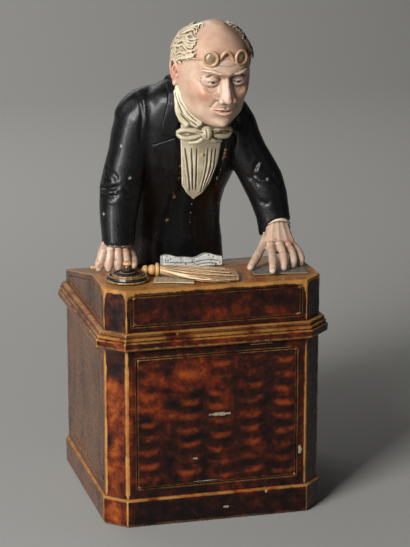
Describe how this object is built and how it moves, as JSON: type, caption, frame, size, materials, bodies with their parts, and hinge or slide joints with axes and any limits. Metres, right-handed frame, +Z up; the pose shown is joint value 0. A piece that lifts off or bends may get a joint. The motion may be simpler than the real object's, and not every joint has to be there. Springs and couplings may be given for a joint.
{
  "type": "tobacco jar",
  "caption": "Figural earthenware tobacco jar: a desk-shaped box whose flanged lid carries a man in a frock coat who leans on the desk top.",
  "frame": {"origin": "middle of the underside of the box", "axes": "+Z up, -Y towards the front of the desk, +X to the right of someone who faces the front"},
  "size_m": [0.129, 0.123, 0.2684],
  "materials": {
    "desk_glaze": "dark red-brown glossy glaze with worn ochre edges",
    "coat_glaze": "glossy black paint under a clear glaze, chipped to ochre along the edges",
    "linen_paint": "cream paint with brown in the folds",
    "skin_paint": "flesh paint with warm brown in the creases, satin",
    "hair_paint": "cream-grey paint with dark grooves, satin",
    "ochre_paint": "ochre paint, satin",
    "lens_paint": "grey-brown paint, satin",
    "cloth_paint": "pinkish tan paint, satin",
    "paper_paint": "pale blue-grey paint with dark flecks, satin"
  },
  "bodies": {
    "jar": {"jar_box": "desk_glaze"},
    "lid": {"desk_lid": "desk_glaze", "torso_coat": "coat_glaze", "sleeve_right": "coat_glaze", "sleeve_left": "coat_glaze", "lapel_right": "coat_glaze", "lapel_left": "coat_glaze", "coat_collar": "coat_glaze", "waistcoat_button_1": "coat_glaze", "waistcoat_button_2": "coat_glaze", "waistcoat_button_3": "coat_glaze", "shirt_front": "linen_paint", "shirt_stud": "ochre_paint", "neckcloth": "linen_paint", "bow_tie": "linen_paint", "cuff_right": "linen_paint", "cuff_left": "linen_paint", "head": "skin_paint", "hand_right": "skin_paint", "hand_left": "skin_paint", "hair": "hair_paint", "spectacle_frame": "ochre_paint", "lens_right": "lens_paint", "lens_left": "lens_paint", "inkwell_dish": "desk_glaze", "inkwell_lid": "coat_glaze", "inkwell_knob": "ochre_paint", "umbrella_ring": "ochre_paint", "umbrella_cloth": "cloth_paint", "umbrella_handle": "ochre_paint", "open_book": "paper_paint", "loose_sheet": "paper_paint", "blotter": "paper_paint", "pen": "ochre_paint"}
  },
  "joints": [
    {"name": "lid_lift", "type": "slide", "parent": "jar", "child": "lid", "axis": [0, 0, 1], "range_m": [0, 0.08]}
  ]
}
